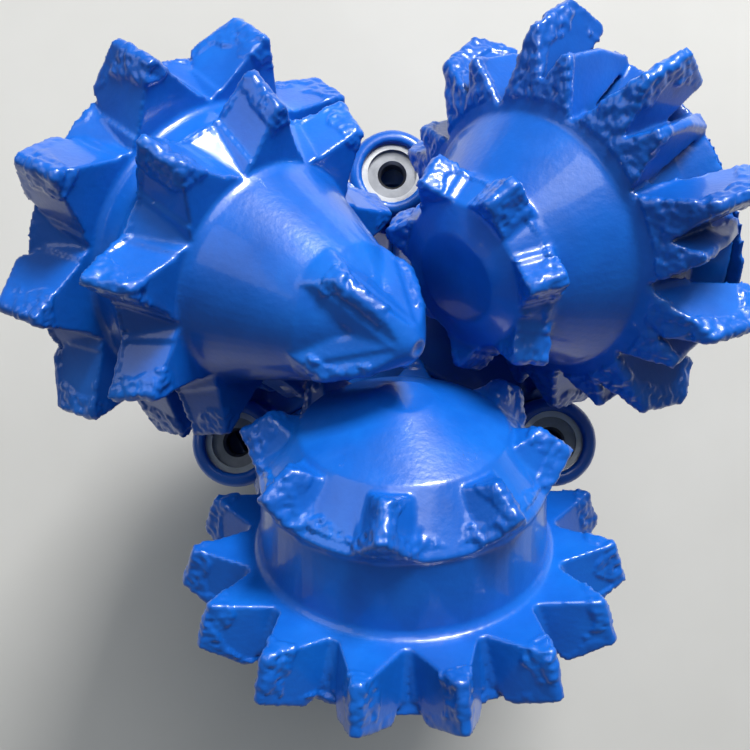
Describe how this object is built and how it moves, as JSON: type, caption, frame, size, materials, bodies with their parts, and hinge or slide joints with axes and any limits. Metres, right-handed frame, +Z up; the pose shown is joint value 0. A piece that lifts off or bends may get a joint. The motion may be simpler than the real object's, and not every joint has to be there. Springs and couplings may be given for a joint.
{
  "type": "tricone drill bit",
  "caption": "Steel-tooth tricone drill bit with three intermeshing rolling cones on journal legs, jet nozzles and a tapered threaded pin.",
  "frame": {"origin": "centre of the pin's lower end face, on the bit axis", "axes": "+Z up the bit axis from the pin towards the cones; cone 1 leans out over -Y"},
  "size_m": [0.3099, 0.2947, 0.3867],
  "materials": {
    "blue_paint": "glossy enamel over steel",
    "bare_steel": "machined steel",
    "carbide": "ground tungsten carbide",
    "bronze": "turned bronze",
    "rubber": "nitrile rubber"
  },
  "bodies": {
    "bit_body": {"leg_1": "blue_paint", "leg_2": "blue_paint", "leg_3": "blue_paint", "ball_plug_1": "blue_paint", "ball_plug_2": "blue_paint", "ball_plug_3": "blue_paint", "cone_seal_1": "rubber", "cone_seal_2": "rubber", "cone_seal_3": "rubber", "reservoir_cup_1": "bare_steel", "reservoir_cup_2": "bare_steel", "reservoir_cup_3": "bare_steel", "diaphragm_1": "rubber", "diaphragm_2": "rubber", "diaphragm_3": "rubber", "reservoir_cap_1": "blue_paint", "reservoir_cap_2": "blue_paint", "reservoir_cap_3": "blue_paint", "cap_snap_ring_1": "blue_paint", "cap_snap_ring_2": "blue_paint", "cap_snap_ring_3": "blue_paint", "grease_plug_1": "blue_paint", "grease_plug_2": "blue_paint", "grease_plug_3": "blue_paint", "jet_nozzle_1": "carbide", "jet_nozzle_2": "carbide", "jet_nozzle_3": "carbide", "nozzle_seal_1": "rubber", "nozzle_seal_2": "rubber", "nozzle_seal_3": "rubber", "nozzle_retainer_1": "bare_steel", "nozzle_retainer_2": "bare_steel", "nozzle_retainer_3": "bare_steel", "weld_seams": "blue_paint", "dowel_pins": "bare_steel"},
    "rolling_cone_1": {"cone_1": "blue_paint", "main_bushing_1": "bronze", "nose_bushing_1": "bronze", "thrust_button_1": "carbide"},
    "ball_row_1": {"retaining_balls_1": "bare_steel"},
    "rolling_cone_2": {"cone_2": "blue_paint", "main_bushing_2": "bronze", "nose_bushing_2": "bronze", "thrust_button_2": "carbide"},
    "ball_row_2": {"retaining_balls_2": "bare_steel"},
    "rolling_cone_3": {"cone_3": "blue_paint", "main_bushing_3": "bronze", "nose_bushing_3": "bronze", "thrust_button_3": "carbide"},
    "ball_row_3": {"retaining_balls_3": "bare_steel"}
  },
  "joints": [
    {"name": "cone_1_spin", "type": "hinge", "parent": "bit_body", "child": "rolling_cone_1", "pos_m": [0.0045, 0, 0.356], "axis": [0, 0.8526, 0.5225], "continuous": true},
    {"name": "ball_row_1_spin", "type": "hinge", "parent": "bit_body", "child": "ball_row_1", "pos_m": [0.0045, 0, 0.356], "axis": [0, 0.8526, 0.5225], "continuous": true},
    {"name": "cone_2_spin", "type": "hinge", "parent": "bit_body", "child": "rolling_cone_2", "pos_m": [-0.00225, 0.0039, 0.356], "axis": [-0.7384, -0.4263, 0.5225], "continuous": true},
    {"name": "ball_row_2_spin", "type": "hinge", "parent": "bit_body", "child": "ball_row_2", "pos_m": [-0.00225, 0.0039, 0.356], "axis": [-0.7384, -0.4263, 0.5225], "continuous": true},
    {"name": "cone_3_spin", "type": "hinge", "parent": "bit_body", "child": "rolling_cone_3", "pos_m": [-0.00225, -0.0039, 0.356], "axis": [0.7384, -0.4263, 0.5225], "continuous": true},
    {"name": "ball_row_3_spin", "type": "hinge", "parent": "bit_body", "child": "ball_row_3", "pos_m": [-0.00225, -0.0039, 0.356], "axis": [0.7384, -0.4263, 0.5225], "continuous": true}
  ],
  "couplings": [
    {"joint": "ball_row_1_spin", "follows": "cone_1_spin", "ratio": 0.5934},
    {"joint": "ball_row_2_spin", "follows": "cone_2_spin", "ratio": 0.5934},
    {"joint": "ball_row_3_spin", "follows": "cone_3_spin", "ratio": 0.5934}
  ]
}
